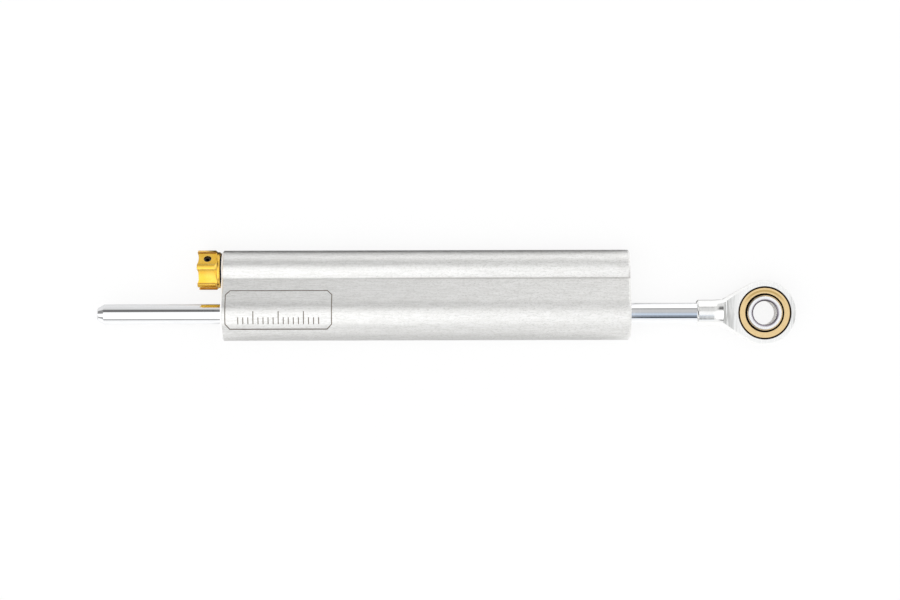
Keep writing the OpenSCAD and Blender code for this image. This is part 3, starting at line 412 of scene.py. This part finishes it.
def race_bronze():
    return bearing_metal("race_bronze", (0.82, 0.61, 0.32), 0.3, 0.006, RACE_SHADE_RINGS, RACE_SHADE_ARCS)


def ball_steel():
    return bearing_metal("ball_steel", (0.95, 0.95, 0.95), 0.2, 0.0005, BALL_SHADE_AND_SHEEN_RINGS, BALL_SHADE_ARCS)


def moulded(name, rgb, roughness, gloss=0.5):
    """Rubber and plastic pieces."""
    made, n = material(name, rgb, 0.0, roughness)
    n.shader.inputs["Specular IOR Level"].default_value = gloss
    grain = n.noise(n.place((3.0, 3.0, 3.0)), detail=3)
    finish_surface(
        n,
        tint=n.mix(grain, colour([c * 0.8 for c in rgb]), colour([c * 1.3 for c in rgb])),
        roughness=n.span(grain, 0.3, 0.7, roughness * 0.85, min(1, roughness * 1.15)),
        normal=n.bump(grain, 0.004),
    )
    return made


# The finish of each material slot
FINISHES = {
    "body_aluminium": drawn_aluminium(),
    "gold_anodised": gold_anodising(),
    "chrome_rod": hard_chrome(),
    "rod_end_steel": milled_steel(),
    "race_bronze": race_bronze(),
    "ball_steel": ball_steel(),
    "inner_aluminium": turned_metal("inner_aluminium", (0.70, 0.71, 0.72), 0.3),
    "bush_bronze": turned_metal("bush_bronze", (0.66, 0.45, 0.20), 0.35),
    "clip_steel": turned_metal("clip_steel", (0.16, 0.16, 0.18), 0.4),
    "spring_steel": turned_metal("spring_steel", (0.36, 0.37, 0.40), 0.3),
    "black_steel": turned_metal("black_steel", (0.06, 0.06, 0.065), 0.35),
    "detent_steel": turned_metal("detent_steel", (0.80, 0.80, 0.82), 0.12),
    "black_rubber": moulded("black_rubber", (0.02, 0.02, 0.022), 0.6),
    "bump_rubber": moulded("bump_rubber", (0.05, 0.05, 0.055), 0.5),
    "black_plastic": moulded("black_plastic", (0.004, 0.005, 0.014), 0.5, gloss=0.15),
    "ring_plastic": moulded("ring_plastic", (0.12, 0.08, 0.05), 0.5),
}


def dress_nodes():
    """Gives each node the finish of its material slot."""
    slot_of = {s["node"]: s["material_slot"] for s in frame["record"]["subparts"]}
    for name, node in nodes.items():
        node.data.materials.clear()
        node.data.materials.append(FINISHES[slot_of[name]])


def compensator_coil():
    """The compensator spring, a coil of wire built in the CAD spring's place; the real spring
    shortens and lengthens with the floating piston.
    """
    low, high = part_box("compensator_spring")
    wire_r = SPRING_WIRE_MM / 2 * MM
    coil_r = (high.y - low.y) / 2 - wire_r
    bpy.ops.mesh.primitive_circle_add(
        vertices=WIRE_SIDES,
        radius=wire_r,
        location=(low.x + wire_r, 0, coil_r),
        rotation=(math.pi / 2, 0, 0),
    )
    coil = bpy.context.object
    coil.name = "compensator_coil"
    bpy.ops.object.transform_apply(location=True, rotation=True, scale=True)
    turns = coil.modifiers.new("turns", "SCREW")
    turns.axis = "X"
    turns.iterations = SPRING_TURNS
    turns.screw_offset = (high.x - low.x - 2 * wire_r) / SPRING_TURNS
    turns.steps = turns.render_steps = TURN_STEPS
    bpy.ops.object.modifier_apply(modifier="turns")
    bpy.ops.object.mode_set(mode="EDIT")
    bpy.ops.mesh.select_all(action="SELECT")
    bpy.ops.mesh.fill_holes(sides=0)
    bpy.ops.mesh.normals_make_consistent(inside=False)
    bpy.ops.object.mode_set(mode="OBJECT")
    bpy.ops.object.shade_smooth_by_angle(angle=math.radians(SMOOTH_DEG))
    coil.data.materials.append(FINISHES["spring_steel"])
    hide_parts("compensator_spring")
    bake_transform(coil)
    bpy.ops.object.select_all(action="DESELECT")


# Brightness of the tent round the damper, on the left and on the right. A strip in it is
# (from, to, soft edge, brightness on the left, on the right), with its first three in degrees
# from straight up towards +Y.
TENT_WHITE = (1.5, 0.96)
TENT_STRIPS = (
    (18, 200, 6, 0.77, 0.86),
    (68, 200, 15, 0.76, 2.0),
    (-200, -48, 8, 1.0, 1.0),
)
# What the bare rod mirrors at the left and at the right of the body
LEFT_STRIPS = (
    (25, 60, 3, 0.40, 0.40),
    (31, 49, 2, 0.12, 0.12),
    (-72, -59, 2, 0.32, 0.32),
)
RIGHT_STRIPS = (
    (60, 200, 4, 1.2, 1.2),
    (42, 59, 3, 0.36, 0.36),
    (-4, 43, 4, 0.60, 0.60),
    (-26, -3, 3, 0.80, 0.80),
    (-46, -26, 4, 0.34, 0.34),
    (-61, -45, 3, 0.05, 0.05),
)
RIGHT_TINT = (0.72, 0.84, 1.0)
# What pieces facing the left end mirror
END_STRIPS = (
    (15, 85, 5, 0.3, 0.3),
    (-100, -70, 5, 0.5, 0.5),
)
# How far along X a direction points (-1 to 1) where the tent turns from left to right, and
# where each group of strips above fades in or out. The right group is (from, to, soft edge).
TENT_TURN = (-0.03, 0.075)
LEFT_FADE_OUT = (-0.095, -0.085)
RIGHT_ZONE = (0.071, 0.117, 0.005)
END_FADE_IN = (-0.97, -0.93)
END_FADE_OUT = (-0.6, -0.5)


def studio_world():
    """A white tent with darker strips, which the polished pieces mirror."""
    world = bpy.data.worlds.new("white_tent")
    world.use_nodes = True
    bpy.context.scene.world = world
    n = Nodes(world.node_tree)
    along, across, up = n.axes(n.add("ShaderNodeTexCoord").outputs["Generated"])
    angle = n.math("DEGREES", n.math("ARCTAN2", across, up))
    rightward = n.span(along, *TENT_TURN, smooth=False)

    def lay(light, strips, place):
        for low, high, soft, at_left, at_right in strips:
            mask = n.math("MULTIPLY", n.band(angle, low, high, soft), place)
            value = n.span(rightward, 0.0, 1.0, at_left, at_right, smooth=False)
            light = n.math("MULTIPLY_ADD", mask, n.math("SUBTRACT", value, light), light)
        return light

    left = n.span(along, *LEFT_FADE_OUT, 1.0, 0.0)
    right = n.band(along, *RIGHT_ZONE)
    end = n.math("MULTIPLY", n.span(along, *END_FADE_IN), n.span(along, *END_FADE_OUT, 1.0, 0.0))
    light = n.span(rightward, 0.0, 1.0, *TENT_WHITE, smooth=False)
    light = lay(light, TENT_STRIPS, 1.0)
    light = lay(light, LEFT_STRIPS, left)
    light = lay(light, END_STRIPS, end)
    light = lay(light, RIGHT_STRIPS, right)
    cool = n.math("MULTIPLY", n.span(angle, -75, -55), n.span(angle, -15, 20, 1.0, 0.0))
    cool = n.math("MULTIPLY", right, cool)
    scale = n.add("ShaderNodeVectorMath", operation="SCALE")
    n.put(n.mix(cool, colour(WHITE), colour(RIGHT_TINT)), scale.inputs[0])
    n.put(light, scale.inputs["Scale"])
    lit = n.add("ShaderNodeBackground")
    n.put(scale.outputs[0], lit.inputs["Color"])
    seen = n.add("ShaderNodeBackground")
    seen.inputs["Color"].default_value = colour(WHITE)
    choose = n.add("ShaderNodeMixShader")
    n.put(n.add("ShaderNodeLightPath").outputs["Is Camera Ray"], choose.inputs[0])
    n.put(lit.outputs[0], choose.inputs[1])
    n.put(seen.outputs[0], choose.inputs[2])
    n.put(choose.outputs[0], n.add("ShaderNodeOutputWorld").inputs["Surface"])


# Painted shade on the table that metal mirrors, where it is darker: (x from, x to, y from, y to and
# soft edge, all in mm, and brightness)
FLOOR_SHADES = (
    (-84, 80, -600, 600, 5, 0.60),
    (-92, 84, 28, 46, 3, 0.1),
    (-93, -80, 13, 40, 2, 0.08),
    (84, 118, 2, 12, 1, 0.35),
    (-600, -88, 0, 600, 2, 0.72),
    (-600, -88, -8, -2, 1, 0.7),
)


def white_floor():
    """The table: nearly burnt out where the camera sees it, and shaded where metal mirrors it."""
    made, n = material("white_floor", (0.72, 0.72, 0.72), 0.0, 0.8)
    n.shader.inputs["Specular IOR Level"].default_value = 0.0
    x, y, _ = n.axes(n.place())
    bright = TABLE_BRIGHT
    for x_from, x_to, y_from, y_to, soft, value in FLOOR_SHADES:
        inside = n.math("MULTIPLY", n.band(x, x_from, x_to, soft), n.band(y, y_from, y_to, soft))
        bright = n.math("MULTIPLY_ADD", inside, n.math("SUBTRACT", value, bright), bright)
    tone = n.add("ShaderNodeCombineXYZ")
    for socket in tone.inputs:
        n.put(bright, socket)
    finish_surface(n, tint=tone.outputs[0])
    glow = n.add("ShaderNodeEmission")
    glow.inputs["Color"].default_value = colour(WHITE)
    paper = n.add("ShaderNodeBsdfDiffuse")
    paper.inputs["Color"].default_value = colour((0.9, 0.9, 0.9))
    shade = n.add("ShaderNodeMixShader")
    shade.inputs[0].default_value = TABLE_GLOW
    n.put(paper.outputs[0], shade.inputs[1])
    n.put(glow.outputs[0], shade.inputs[2])
    choose = n.add("ShaderNodeMixShader")
    n.put(n.add("ShaderNodeLightPath").outputs["Is Camera Ray"], choose.inputs[0])
    n.put(n.shader.outputs[0], choose.inputs[1])
    n.put(shade.outputs[0], choose.inputs[2])
    n.put(choose.outputs[0], n.output.inputs["Surface"])
    return made


def studio():
    """The white floor, the soft top light, and the camera of the photograph."""
    table_z = cad_box[0].z - TABLE_GAP_MM * MM
    bpy.ops.mesh.primitive_plane_add(size=2 * FLOOR_HALF_M, location=(0, 0, table_z))
    floor = bpy.context.object
    floor.name = "floor"
    floor.data.materials.append(white_floor())
    bpy.ops.object.select_all(action="DESELECT")

    sun = bpy.data.objects.new("top_light", bpy.data.lights.new("top_light", "SUN"))
    sun.data.energy = SUN_STRENGTH
    sun.data.angle = math.radians(SUN_SPREAD_DEG)
    sun.rotation_euler = [math.radians(a) for a in SUN_TILT_DEG]
    sun.visible_glossy = False
    bpy.context.scene.collection.objects.link(sun)

    camera = bpy.data.objects.new("camera", bpy.data.cameras.new("camera"))
    camera.data.sensor_width = SENSOR_MM
    camera.data.lens = SENSOR_MM * CAMERA_HEIGHT_MM / PHOTO_WIDTH_MM
    camera.data.clip_start, camera.data.clip_end = CLIP_M
    camera.location = Vector((CAMERA_X_MM, CAMERA_Y_MM, CAMERA_HEIGHT_MM)) * MM
    camera.rotation_euler = (0, 0, math.radians(CAMERA_ROLL_DEG))
    bpy.context.scene.collection.objects.link(camera)
    bpy.context.scene.camera = camera
    bpy.context.scene.view_settings.view_transform = "Standard"


dress_nodes()
compensator_coil()
studio_world()
studio()
